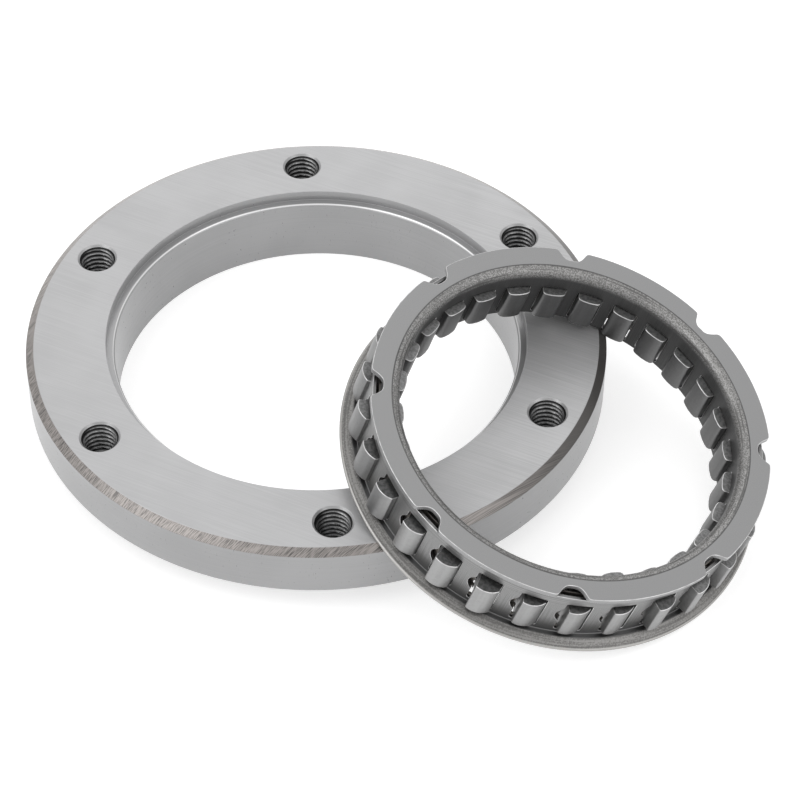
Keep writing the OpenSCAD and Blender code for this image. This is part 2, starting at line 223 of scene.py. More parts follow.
class ClutchSettings(bpy.types.PropertyGroup):
    """All the settings of the clutch"""
    ring: group_of(RingSizes, "Ring", "Outer race ring")
    cage: group_of(CageSizes, "Cages", "Inner and outer cage")
    window: group_of(WindowSizes, "Windows", "Windows of the cages")
    ribbon: group_of(RibbonSizes, "Ribbon", "Ribbon spring")
    sprag: group_of(SpragSizes, "Sprags", "Sprags")
    finish: group_of(Finishes, "Finishes", "Colours of the steels")
    stage: group_of(StageSettings, "Stage", "Camera, light and floor")


def cage_frame(height):
    """Origin and the three axes of the leaning cage, from the joint that the inner cage turns on.

    N is the cage's axis, U is square to it and points down the slope, and W completes them.
    """
    turn = JOINTS["inner_cage_turn"]
    n = np.array(turn["axis"], float)
    n /= np.linalg.norm(n)
    flat = math.hypot(n[0], n[1])
    u = np.array([n[0] * n[2] / flat, n[1] * n[2] / flat, -flat])
    w = np.cross(n, u)
    return np.array(turn["pos_m"], float) - n * height / 2, u, w, n


def leaned(points, height):
    """Cage coordinates to world coordinates: origin + x U + y W + z N."""
    origin, u, w, n = cage_frame(height)
    return origin + points[..., :1] * u + points[..., 1:2] * w + points[..., 2:3] * n


def to_cage(points, height):
    """World coordinates to cage coordinates, by projecting on the cage's axes."""
    origin, u, w, n = cage_frame(height)
    return (points - origin) @ np.column_stack([u, w, n])


def wound(radius, angle, z):
    """Points at a radius, an angle and a height: (r cos a, r sin a, z)."""
    radius, angle, z = np.broadcast_arrays(radius, angle, z)
    return np.stack([radius * np.cos(angle), radius * np.sin(angle), z], axis=-1)


def turned(points, angle):
    """Points turned about Z."""
    c, s = math.cos(angle), math.sin(angle)
    x, y, z = points.T
    return np.column_stack([x * c - y * s, x * s + y * c, z])


def rounded(corners, radii, steps=5):
    """Closed outline in which each corner is an arc that is tangent to both of its sides."""
    corners = np.asarray(corners, float)
    outline = []
    for index, radius in enumerate(radii):
        corner = corners[index]
        if radius <= 0:
            outline.append(corner[None])
            continue
        before, after = corners[index - 1], corners[(index + 1) % len(corners)]
        a = (before - corner) / np.linalg.norm(before - corner)
        b = (after - corner) / np.linalg.norm(after - corner)
        half = math.acos(np.clip(a @ b, -1, 1)) / 2
        middle = (a + b) / np.linalg.norm(a + b)
        centre = corner + middle * radius / math.sin(half)
        side = np.sign(a[1] * b[0] - a[0] * b[1])
        sweep = side * np.linspace(-1, 1, steps) * (math.pi / 2 - half) + math.atan2(-middle[1], -middle[0])
        outline.append(centre + radius * np.column_stack([np.cos(sweep), np.sin(sweep)]))
    return np.concatenate(outline)


def resampled(path, count):
    """The same path, with its points at equal distances along it."""
    along = np.concatenate([[0], np.cumsum(np.linalg.norm(np.diff(path, axis=0), axis=1))])
    places = np.linspace(0, along[-1], count)
    return np.column_stack([np.interp(places, along, path[:, axis]) for axis in (0, 1)])


def grid_faces(rows, columns, close_rows):
    """Quads of a grid that closes round its columns, and along its rows if asked."""
    index = np.arange(rows * columns).reshape(rows, columns)
    beside = np.roll(index, -1, axis=1)
    above, above_beside = np.roll(index, -1, axis=0), np.roll(beside, -1, axis=0)
    quads = np.stack([index, beside, above_beside, above], axis=-1)
    return quads if close_rows else quads[:-1]


def lathe(profile, columns):
    """Closed profile (r, z), anticlockwise, turned round Z: x = r cos a, y = r sin a."""
    angles = np.linspace(0, 2 * math.pi, columns, endpoint=False)
    points = wound(profile[:, :1], angles[None], profile[:, 1:])
    return points.reshape(-1, 3), grid_faces(len(profile), columns, True).reshape(-1, 4).tolist()


def plug(profile, columns):
    """Open profile (r, z), going up, turned round Z and closed by a flat face at each end."""
    angles = np.linspace(0, 2 * math.pi, columns, endpoint=False)
    points = wound(profile[:, :1], angles[None], profile[:, 1:])
    faces = grid_faces(len(profile), columns, False).reshape(-1, 4).tolist()
    last = (len(profile) - 1) * columns
    return points.reshape(-1, 3), faces + [list(range(columns))[::-1], list(range(last, last + columns))]


def extruded(outline, low, high, rows=2):
    """An anticlockwise outline carried straight up, with a flat face at each end."""
    levels = np.linspace(low, high, rows)
    count = len(outline)
    points = np.concatenate([np.column_stack([outline, np.full(count, level)]) for level in levels])
    faces = grid_faces(rows, count, False).reshape(-1, 4).tolist()
    last = (rows - 1) * count
    return points, faces + [list(range(count))[::-1], list(range(last, last + count))]


def sheet_metal(outer, inner, metal):
    """Closed sheet between two grids of the same rows and columns.

    Where metal is true the cell has a face on both skins. An edge that only one kept cell uses is an
    edge of the sheet, and gets a wall from skin to skin.
    """
    rows, columns = outer.shape[:2]
    total = rows * columns
    quads = grid_faces(rows, columns, False)[metal]
    edges = np.concatenate([quads[:, [side, (side + 1) % 4]] for side in range(4)])
    lone = edges[~np.isin(edges[:, 0] * total + edges[:, 1], edges[:, 1] * total + edges[:, 0])]
    walls = np.column_stack([lone[:, 1], lone[:, 0], lone[:, 0] + total, lone[:, 1] + total])
    faces = np.concatenate([quads, quads[:, ::-1] + total, walls])
    used, faces = np.unique(faces, return_inverse=True)
    points = np.concatenate([outer.reshape(-1, 3), inner.reshape(-1, 3)])[used]
    return points, faces.reshape(-1, 4).tolist()


def joined(parts):
    """Several meshes as one."""
    points, faces, offset = [], [], 0
    for part_points, part_faces in parts:
        points.append(part_points)
        faces += [[index + offset for index in face] for face in part_faces]
        offset += len(part_points)
    return np.concatenate(points), faces


def bare_object(name, points, faces):
    """A mesh object at the origin, with nothing else set."""
    mesh = bpy.data.meshes.new(name)
    mesh.from_pydata(points.tolist(), [], faces)
    mesh.update()
    piece = bpy.data.objects.new(name, mesh)
    bpy.context.scene.collection.objects.link(piece)
    return piece


def dress(piece, material, body, nodes, edge_round=0.0, sharp=32, edge=None):
    """Smooth shading, the finish, rounded edges in a brighter steel that paints a highlight on them, and
    the body that the piece rides on.

    Sharp is the angle in degrees from which an edge stays sharp.
    """
    mesh = piece.data
    mesh.shade_smooth()
    mesh.set_sharp_from_angle(angle=math.radians(sharp))
    mesh.materials.clear()
    mesh.materials.append(material)
    if edge_round > 0:
        bevel = piece.modifiers.new("Edges", "BEVEL")
        bevel.width = edge_round
        bevel.segments = 2
        bevel.limit_method = "ANGLE"
        bevel.angle_limit = math.radians(50)
        bevel.use_clamp_overlap = False
        bevel.harden_normals = True
        # The rounded edges take the second material, a painted highlight
        if edge:
            mesh.materials.append(edge)
            bevel.material = 1
    else:
        piece.modifiers.new("Normals", "WEIGHTED_NORMAL").keep_sharp = True
    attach(piece, body)
    if nodes:
        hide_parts(*nodes)
    return piece


def tint(colour, factor):
    """A colour made darker or paler by a factor."""
    return tuple(min(1.0, factor * channel) for channel in colour)


class Nodes:
    """An emptied node tree, and the steps that a finish is made of."""

    def __init__(self, tree):
        self.tree = tree
        tree.nodes.clear()

    def add(self, kind, settings=None, **sockets):
        """A shader node. A socket's value is a number, a vector or another node's output."""
        made = self.tree.nodes.new("ShaderNode" + kind)
        for key, value in (settings or {}).items():
            setattr(made, key, value)
        for key, value in sockets.items():
            name = int(key[1:]) if key[1:].isdigit() else key.replace("_", " ")
            if isinstance(value, bpy.types.NodeSocket):
                self.tree.links.new(value, made.inputs[name])
            else:
                made.inputs[name].default_value = value
        return made

    def maths(self, operation, a, b=0.0):
        """One arithmetic step."""
        return self.add("Math", {"operation": operation}, i0=a, i1=b).outputs[0]

    def times(self, a, b):
        """A product."""
        return self.maths("MULTIPLY", a, b)

    def line(self, value, slope, start):
        """Start + slope * value."""
        return self.maths("ADD", self.times(value, slope), start)

    def band(self, value, low, high):
        """0 below low, 1 above high, and a smooth step between them."""
        return self.add("MapRange", {"interpolation_type": "SMOOTHSTEP"},
                        Value=value, From_Min=low, From_Max=high).outputs[0]

    def under(self, value, low, high):
        """1 below low, 0 above high, and a smooth step between them."""
        return self.maths("SUBTRACT", 1.0, self.band(value, low, high))

    def blend(self, share, first, second):
        """A mix of two values."""
        return self.add("Mix", {"data_type": "FLOAT"}, i0=share, i2=first, i3=second).outputs[0]

    def blend_colour(self, share, first, second):
        """A mix of two colours, or of two outputs that hold colours."""
        colours = [value if isinstance(value, bpy.types.NodeSocket) else (*value, 1)
                   for value in (first, second)]
        return self.add("Mix", {"data_type": "RGBA"}, i0=share, i6=colours[0], i7=colours[1]).outputs[2]

    def tinted(self, colour, dark, pale, pattern, low, high):
        """A colour times dark where the pattern is below low, and times pale where it is above high."""
        return self.blend_colour(self.band(pattern, low, high), tint(colour, dark), tint(colour, pale))

    def noise(self, vector, scale, detail=3.0, rough=0.5):
        """Grey noise between about 0.3 and 0.7."""
        return self.add("TexNoise", Vector=vector, Scale=scale, Detail=detail, Roughness=rough).outputs[0]


class Steel(Nodes):
    """Node tree of one steel, with the coordinates that its patterns follow."""

    def __init__(self, name, cage_height=0.0, metallic=1.0):
        self.material = bpy.data.materials.new(name)
        self.material.use_nodes = True
        super().__init__(self.material.node_tree)
        self.shader = self.add("BsdfPrincipled", Metallic=metallic)
        self.add("OutputMaterial", Surface=self.shader.outputs[0])
        self.place = self.add("TexCoord").outputs["Object"]
        if cage_height:
            origin, u, w, n = cage_frame(cage_height)
            turn = Matrix((u, w, n)).transposed().to_euler("XYZ")
            self.place = self.add("Mapping", {"vector_type": "TEXTURE"}, Vector=self.place,
                                  Location=tuple(origin), Rotation=tuple(turn)).outputs[0]
        self.x, self.y, self.z = self.add("SeparateXYZ", Vector=self.place).outputs
        square = self.maths("ADD", self.times(self.x, self.x), self.times(self.y, self.y))
        self.radius = self.maths("SQRT", square)
        self.angle = self.maths("ARCTAN2", self.y, self.x)

    def attribute(self, name):
        """Value that the mesh carries under this name."""
        return self.add("Attribute", {"attribute_name": name}).outputs["Fac"]

    def grain(self, scale, detail=3.0, rough=0.5):
        """Noise that is alike in every direction."""
        return self.noise(self.place, scale, detail, rough)

    def streaks(self, scale, angle=0.0, detail=3.0, rough=0.5):
        """Noise on coordinates that are turned about Z and then scaled."""
        turn = self.add("Mapping", Vector=self.place, Rotation=(0, 0, angle))
        stretched = self.add("Mapping", Vector=turn.outputs[0], Scale=scale)
        return self.noise(stretched.outputs[0], 1.0, detail, rough)

    def lines_round(self, fineness):
        """Turned lines: noise that hardly changes along the circumference."""
        return self.streaks((18, 18, fineness), 0.0, 4.0, 0.6)

    def two_paced(self, fast, fineness, slow, coarseness):
        """Noise that changes quickly with one coordinate and slowly with another."""
        axes = self.add("CombineXYZ", X=self.times(fast, fineness), Y=self.times(slow, coarseness))
        return self.noise(axes.outputs[0], 1.0)

    def rings(self, fineness):
        """Concentric lines on a flat face."""
        return self.two_paced(self.radius, fineness, self.angle, 2.0)

    def brushed_up(self, fineness):
        """Brushing along the axis."""
        return self.two_paced(self.angle, fineness, self.z, 90.0)

    def finish(self, colour, roughness, height, depth):
        """Sets the colour and roughness, and presses the height pattern in by depth."""
        bump = self.add("Bump", Strength=1.0, Distance=depth, Height=height)
        links = {"Base Color": colour, "Roughness": roughness, "Normal": bump.outputs[0]}
        for socket, value in links.items():
            self.tree.links.new(value, self.shader.inputs[socket])
        return self.material


def ring_steel(ring, finish):
    """Ground face with straight marks, an unground chamfer, and a turned wall and bore.

    The face has a painted reflection of the cage: its colour darkens along X towards the cage. The
    chamfer is lighter on the side away from the cage, a painted highlight broken up by scratches, and a
    painted highlight line runs round the race's chamfer in the bore.
    """
    shade_start, shade_end = 10 * MM, 50 * MM
    # Where the chamfer's painted highlight fades out along X
    sheen_start, sheen_end = 30 * MM, 60 * MM
    # Heights and radii of the painted highlight line in the bore
    highlight_foot, highlight_top = 14 * MM, 14.5 * MM
    highlight_in, highlight_out = ring.race_r + 0.2 * MM, ring.race_r + 0.5 * MM
    chamfer_r, chamfer_z = ring.outside_r - ring.chamfer_w, ring.height - ring.chamfer_h
    steel = Steel("race_steel", metallic=0.45)
    marks = steel.streaks((45, 3800, 400), math.radians(24), 4.0, 0.65)
    scratches = steel.streaks((90, 7000, 900), math.radians(-38), 2.0)
    on_face = steel.band(steel.z, ring.height - 0.12 * MM, ring.height - 0.04 * MM)
    on_chamfer = steel.times(steel.band(steel.radius, chamfer_r + 0.02 * MM, chamfer_r + 0.15 * MM),
                             steel.band(steel.z, chamfer_z - 0.05 * MM, chamfer_z + 0.05 * MM))
    lines = steel.blend(on_face, steel.lines_round(5200), marks)
    light = steel.maths("ADD", steel.times(lines, 0.55), steel.times(steel.grain(55, 2.0), 0.45))
    # Painted reflection of the cage: the face's colour darkens along X towards the cage
    painted_cage_reflection = steel.band(steel.x, shade_start, shade_end)
    dark = steel.blend_colour(painted_cage_reflection, tint(finish.ring, 0.96), tint(finish.ring, 0.89))
    face = steel.blend_colour(steel.band(light, 0.38, 0.62), dark, tint(finish.ring, 1.06))
    side = steel.tinted(finish.ring, 0.78, 0.86, light, 0.38, 0.62)
    # Painted highlight: a pale line round the race's chamfer in the bore
    highlight_radii = steel.times(steel.band(steel.radius, highlight_in, highlight_in + 0.06 * MM),
                          steel.under(steel.radius, highlight_out - 0.08 * MM, highlight_out))
    painted_highlight_line = steel.times(highlight_radii, steel.band(steel.z, highlight_foot, highlight_top))
    body = steel.blend_colour(painted_highlight_line, steel.blend_colour(on_face, side, face), (0.8, 0.8, 0.8))
    # Painted highlight: the chamfer is lighter on the side away from the cage, broken up by scratches
    painted = steel.times(steel.under(steel.x, sheen_start, sheen_end), steel.band(scratches, 0.3, 0.62))
    chamfer = steel.blend_colour(painted, finish.chamfer, finish.chamfer_highlight)
    colour = steel.blend_colour(on_chamfer, body, chamfer)
    roughness = steel.maths("ADD", steel.line(scratches, 0.12, 0.24), steel.times(on_face, 0.14))
    return steel.finish(colour, roughness, lines, 0.004 * MM)


def thread_steel(finish):
    """Cut thread: lightly speckled crests, and flanks whose painted shade darkens them towards the near
    black valley.
    """
    steel = Steel("thread_steel")
    speckle = steel.grain(2600, 3.0, 0.6)
    metal = steel.tinted(finish.ring, 0.45, 0.8, speckle, 0.35, 0.65)
    # Painted shade: the colour goes to the near black valley colour where the ridge is low
    colour = steel.blend_colour(steel.band(steel.attribute("crest"), 0.35, 0.95), finish.valley, metal)
    return steel.finish(colour, steel.line(speckle, 0.2, 0.3), speckle, 0.006 * MM)


def edge_highlight_steel(finish):
    """Painted highlight on the rounded edges, a little uneven."""
    steel = Steel("painted_edge_highlight")
    highlight_noise = steel.grain(700)
    colour = steel.tinted(finish.edge, 0.7, 1.0, highlight_noise, 0.32, 0.6)
    return steel.finish(colour, steel.line(highlight_noise, 0.2, 0.22), highlight_noise, 0.004 * MM)


def flange_steel(cage, finish):
    """Inner cage: smooth flange, sandy bend with fine rings, and a brushed wall that painted shade makes
    darker.

    A dark seam runs round where the bend meets the flange.
    """
    bend_end = cage.bore_r + cage.bend_r
    wall_top, bend_foot = cage.height - 2.6 * MM, cage.height - 1.3 * MM
    steel = Steel("inner_cage_steel", cage.height)
    sand = steel.grain(3400, 3.0, 0.7)
    fine = steel.grain(9000, 2.0)
    inside_bend = steel.under(steel.radius, bend_end - 0.1 * MM, bend_end + 0.15 * MM)
    seam = steel.times(steel.band(steel.radius, bend_end - 0.28 * MM, bend_end - 0.12 * MM),
                       steel.under(steel.radius, bend_end + 0.02 * MM, bend_end + 0.14 * MM))
    flat = steel.tinted(finish.flange, 0.93, 1.06, fine, 0.35, 0.65)
    grain = steel.tinted(finish.cage_grain, 0.66, 1.45, sand, 0.4, 0.6)
    # Painted shade: the inner cage's wall takes the cages' wall colour at about 0.4 of its strength
    wall = steel.tinted(finish.cage_wall, 0.33, 0.48, steel.brushed_up(900), 0.35, 0.65)
    bend = steel.blend_colour(inside_bend, flat, grain)
    ringed = steel.times(inside_bend, steel.band(steel.rings(3200), 0.56, 0.62))
    lined = steel.blend_colour(ringed, bend, tint(finish.cage_grain, 0.6))
    body = steel.blend_colour(steel.under(steel.z, wall_top, bend_foot), lined, wall)
    colour = steel.blend_colour(steel.times(seam, 0.75), body, (0.10, 0.10, 0.10))
    height = steel.blend(inside_bend, fine, sand)
    return steel.finish(colour, steel.line(inside_bend, 0.06, 0.42), height, 0.010 * MM)


def wall_steel(cage, finish):
    """Outer cage: turned lines near the top, a brushed wall that darkens downwards, and a grainy flare.

    The flare's bead is painted twice as light as the flare, a painted highlight on the rolled bead.
    """
    turned_foot, turned_full = 11.5 * MM, 13.2 * MM
    shade_foot, shade_top = 1.8 * MM, 7.5 * MM
    ledge_r = cage.outer_wall_r + cage.ledge_w
    steel = Steel("outer_cage_steel", cage.height)
    sand = steel.grain(3000, 3.0, 0.7)
    on_flare = steel.band(steel.radius, ledge_r - 0.1 * MM, ledge_r + 0.25 * MM)
    bead_highlight = steel.band(steel.radius, cage.rim_r - 0.45 * MM, cage.rim_r - 0.25 * MM)
    high = steel.band(steel.z, turned_foot, turned_full)
    pattern = steel.blend(high, steel.brushed_up(800), steel.lines_round(7000))
    wall = steel.tinted(finish.cage_wall, 0.78, 1.2, pattern, 0.36, 0.64)
    lit = steel.band(steel.z, shade_foot, shade_top)
    shaded = steel.blend_colour(lit, tint(finish.cage_wall, 0.7), wall)
    ringed = steel.times(steel.maths("ADD", sand, steel.rings(2600)), 0.5)
    grain = steel.tinted(finish.flare, 0.72, 1.32, ringed, 0.42, 0.58)
    # Painted highlight on the rolled bead: twice the flare's colour
    rim = steel.blend_colour(bead_highlight, grain, tint(finish.flare, 2))
    colour = steel.blend_colour(on_flare, shaded, rim)
    height = steel.blend(on_flare, pattern, sand)
    return steel.finish(colour, steel.line(on_flare, 0.08, 0.36), height, 0.009 * MM)


def sprag_steel(cage, finish):
    """Tumbled sprag: satin cams that painted shade makes darker inside than outside, and end faces with
    faint streaks that painted shade makes darker than the cams.
    """
    waist_in, waist_out = 39 * MM, 41 * MM
    steel = Steel("sprag_steel", cage.height)
    satin = steel.grain(1500, 3.0, 0.6)
    mottle = steel.times(steel.maths("ADD", satin, steel.streaks((900, 900, 60))), 0.5)
    outside, inside = (
        steel.tinted(cams, 0.93, 1.07, mottle, 0.36, 0.62) for cams in (finish.sprag, finish.shaded_sprag_inside))
    # Painted shade: the cams darken from the outer colour to the inner one across the waist
    cam = steel.blend_colour(steel.band(steel.radius, waist_in, waist_out), inside, outside)
    # Painted shade on the end faces
    face = steel.tinted(finish.shaded_sprag_end, 0.8, 1.25, satin, 0.36, 0.64)
    colour = steel.blend_colour(steel.attribute("end_face"), cam, face)
    return steel.finish(colour, steel.line(satin, 0.15, 0.36), satin, 0.004 * MM)


def spring_steel(cage, finish):
    """Dull rolled strip with fine lines along it."""
    steel = Steel("spring_steel", cage.height)
    lines = steel.lines_round(9000)
    colour = steel.tinted(finish.ribbon, 0.8, 1.15, lines, 0.36, 0.64)
    return steel.finish(colour, steel.line(lines, 0.15, 0.35), lines, 0.006 * MM)


def cut_away(piece, cutter):
    """Cuts one closed mesh out of another, and keeps the result as the piece's mesh."""
    cut = piece.modifiers.new("Cut", "BOOLEAN")
    cut.operation = "DIFFERENCE"
    cut.solver = "EXACT"
    cut.object = cutter
    whole = piece.data
    depsgraph = bpy.context.evaluated_depsgraph_get()
    piece.data = bpy.data.meshes.new_from_object(piece.evaluated_get(depsgraph))
    piece.modifiers.clear()
    bpy.data.meshes.remove(whole)
    bpy.data.objects.remove(cutter)


def ring_profile(ring):
    """Section of the ring with rounded corners, anticlockwise from the race's lower edge."""
    flange_z = ring.height - ring.flange_h
    floor_z = ring.height - ring.counter_h
    chamfer = ring.under_chamfer
    corners = [
        (ring.race_r, 0), (ring.pilot_r - chamfer, 0), (ring.pilot_r, chamfer),
        (ring.pilot_r, flange_z), (ring.outside_r - chamfer, flange_z),
        (ring.outside_r, flange_z + chamfer), (ring.outside_r, ring.height - ring.chamfer_h),
        (ring.outside_r - ring.chamfer_w, ring.height), (ring.counter_r, ring.height),
        (ring.counter_r, floor_z), (ring.race_r + ring.race_chamfer, floor_z),
        (ring.race_r, floor_z - ring.race_chamfer)]
    pilot_corner, counterbore_corner = 3, 9
    radii = [ring.edge_round] * len(corners)
    radii[pilot_corner] = 0.4 * MM
    radii[counterbore_corner] = 0.1 * MM
    return rounded(corners, radii)


def hole_places(ring):
    """Middle of each threaded hole."""
    angles = ring.first_hole + np.arange(ring.hole_count) * 2 * math.pi / ring.hole_count
    return wound(ring.hole_pitch_r, angles, 0.0)


def thread_sleeve(ring):
    """Thread round Z, closed behind by a tube.

    Its radius is hole radius - depth * ridge(z / pitch - angle / turn). The ridge is a trapezium with
    a narrow flat crest, and fades out at both ends.
    """
    columns, rows_a_pitch = 72, 10
    steepness, valley = 2.6, 0.16
    run_out, buried = 0.9 * MM, 0.03 * MM
    low = ring.height - ring.flange_h + ring.countersink
    high = ring.height - ring.countersink
    rows = int((high - low) / ring.thread_pitch * rows_a_pitch)
    z = np.linspace(high, low, rows)[:, None]
    angle = np.linspace(0, 2 * math.pi, columns, endpoint=False)[None]
    phase = np.mod(z / ring.thread_pitch - angle / (2 * math.pi), 1)
    ridge = np.clip(steepness * (0.5 - np.abs(phase - 0.5)) - valley, 0, 1)
    fade = np.clip((z - low) / run_out, 0, 1) * np.clip((high - z) / (0.5 * run_out), 0, 1)
    inner = wound(ring.hole_r - ring.thread_depth * ridge * fade, angle, z)
    outer = wound(ring.hole_r + buried, angle, np.array([[low], [high]]))
    points = np.concatenate([inner, outer])
    crest = np.concatenate([(ridge * fade).ravel(), np.zeros(outer[..., 0].size)])
    return points.reshape(-1, 3), grid_faces(len(points), columns, True).reshape(-1, 4).tolist(), crest


def window_sides(z, half, low, high, corner):
    """Half the width of a window at each height: full, but drawn in along a quarter circle at its ends.

    Heights beyond an end count as that end.
    """
    z = np.clip(z, low, high)
    depth = np.clip(corner - np.minimum(z - low, high - z), 0, corner)
    return half - (corner - np.sqrt(corner ** 2 - depth ** 2))


def scallop(z, window):
    """Bulge of the scallop at each height: the part of a circle that stands out from the window's side."""
    radius = (window.scallop_depth ** 2 + window.scallop_h ** 2 / 4) / (2 * window.scallop_depth)
    inside = np.clip(radius ** 2 - (z - window.scallop_z) ** 2, 0, None)
    return np.clip(np.sqrt(inside) - radius + window.scallop_depth, 0, None)


def column_angles(steps, edge, edge_steps, half_steps, half_pitch):
    """Angle of each column from the middle: even steps up to the edge, then even steps to half a pitch."""
    away = np.abs(steps)
    inside = edge * away / edge_steps
    outside = edge + (half_pitch - edge) * (away - edge_steps) / (half_steps - edge_steps)
    return np.sign(steps) * np.where(away <= edge_steps, inside, outside)


def periodic_columns(count, per_period, first):
    """Number of the period, and the steps from its middle, of each column."""
    number = np.arange(count) - first
    period = np.round(number / per_period)
    return period, number - period * per_period


# Grid steps from a window's middle to its side and to the middle of the web
WINDOW_STEPS = 5
WEB_STEPS = 8
COLUMNS_A_PITCH = 2 * WEB_STEPS
COLUMNS = COLUMNS_A_PITCH * len(SPRAGS)
SPRAG_PITCH = 2 * math.pi / len(SPRAGS)


def metal_cells(window_rows, steps):
    """Which cells of a grid are sheet: all but those in a window's rows and columns."""
    window_columns = (steps >= -WINDOW_STEPS) & (steps < WINDOW_STEPS)
    return ~(window_rows[:, None] & window_columns[None])


def walled(profile_outer, profile_inner, low, high, left, right, turn):
    """Closed sheet with a window at each sprag, from the (r, z) rows of its two skins.

    Left and right give, at each row, how far a window's two sides lie from its middle, so that a
    column's angle is asin(distance / radius) at a window's side.
    """
    period, steps = periodic_columns(COLUMNS, COLUMNS_A_PITCH, 0)
    skins = []
    for profile in (profile_outer, profile_inner):
        radius, z = profile[:, :1], profile[:, 1:]
        edge = np.arcsin(np.where(steps[None] < 0, left, right) / radius)
        local = column_angles(steps[None], edge, WINDOW_STEPS, WEB_STEPS, SPRAG_PITCH / 2)
        skins.append(wound(radius, turn + period * SPRAG_PITCH + local, z))
    rows, slack = profile_outer[:, 1], 1e-7
    in_window = (rows[:-1] >= low - slack) & (rows[1:] <= high + slack) & (rows[1:] > rows[:-1])
    return sheet_metal(*skins, metal_cells(in_window, steps))


def sprag_angle(name, height):
    """Direction of a sprag's pivot in the cage's frame."""
    place = to_cage(np.array(JOINTS[name + "_tilt"]["pos_m"], float)[None], height)[0]
    return math.atan2(place[1], place[0])


def eased(low, high, count):
    """Heights from low to high, closer together near both ends."""
    return low + (high - low) * (1 - np.cos(np.linspace(0, math.pi, count))) / 2


def outer_cage_rows(cage, window):
    """The outer cage's two skins as (r, z) rows, from the bead up to the wall's top edge.

    The outer skin goes round the bead, up the flare, along the ledge and up the wall. The inner one
    stays one sheet below it.
    """
    low_rows, window_rows, top_rows = 30, 22, 6
    fillet, flare_start, flare_dip, ledge_start, rim_lift = np.array([0.12, 0.15, 0.04, 0.05, 0.02]) * MM
    wall_r, inner_r = cage.outer_wall_r, cage.outer_wall_r - cage.outer_sheet
    ledge_r, under_z = wall_r + cage.ledge_w, cage.ledge_h - cage.outer_sheet
    arc = np.radians(np.linspace(-90, 65, 9))
    bead = cage.bead_r * np.column_stack([np.cos(arc) - 1, np.sin(arc) + 1]) + [cage.rim_r, 0]
    outer = np.concatenate([bead, [
        [ledge_r + flare_start, cage.ledge_h - flare_dip], [ledge_r - ledge_start, cage.ledge_h],
        [wall_r + fillet, cage.ledge_h], [wall_r, cage.ledge_h + fillet], [wall_r, window.foot]]])
    inner = np.array([[cage.rim_r - 2 * cage.bead_r, rim_lift], [ledge_r - cage.ledge_w / 4, under_z],
                      [inner_r, under_z], [inner_r, window.foot]])
    heights = np.concatenate([
        eased(window.foot, window.outer_top, window_rows)[1:],
        np.linspace(window.outer_top, cage.height - cage.flange_t - cage.top_gap, top_rows)[1:]])
    wall = [np.column_stack([np.full(len(heights), radius), heights]) for radius in (wall_r, inner_r)]
    return [np.concatenate([resampled(low, low_rows), high]) for low, high in zip((outer, inner), wall)]


def outer_cage_mesh(cage, window, turn):
    """Outer cage: windows with a scallop on one side, over a ledge and a flared, beaded rim."""
    outer, inner = outer_cage_rows(cage, window)
    z = outer[:, 1:]
    side = window_sides(z, window.outer_half, window.foot, window.outer_top, window.corner)
    return walled(outer, inner, window.foot, window.outer_top, side + scallop(z, window), side, turn)


def notch_bite(across, cage):
    """Depth of a notch at a distance from its middle: a smooth maximum of 0 and the dome 1 - t cubed.

    T is the distance over half the mouth's width, and the smooth maximum of d is (d + sqrt(d d + k k)) / 2.
    """
    dome = cage.notch_depth * (1 - np.minimum(np.abs(across) / cage.notch_mouth, 2) ** 3)
    return (dome + np.sqrt(dome ** 2 + cage.notch_lip ** 2)) / 2


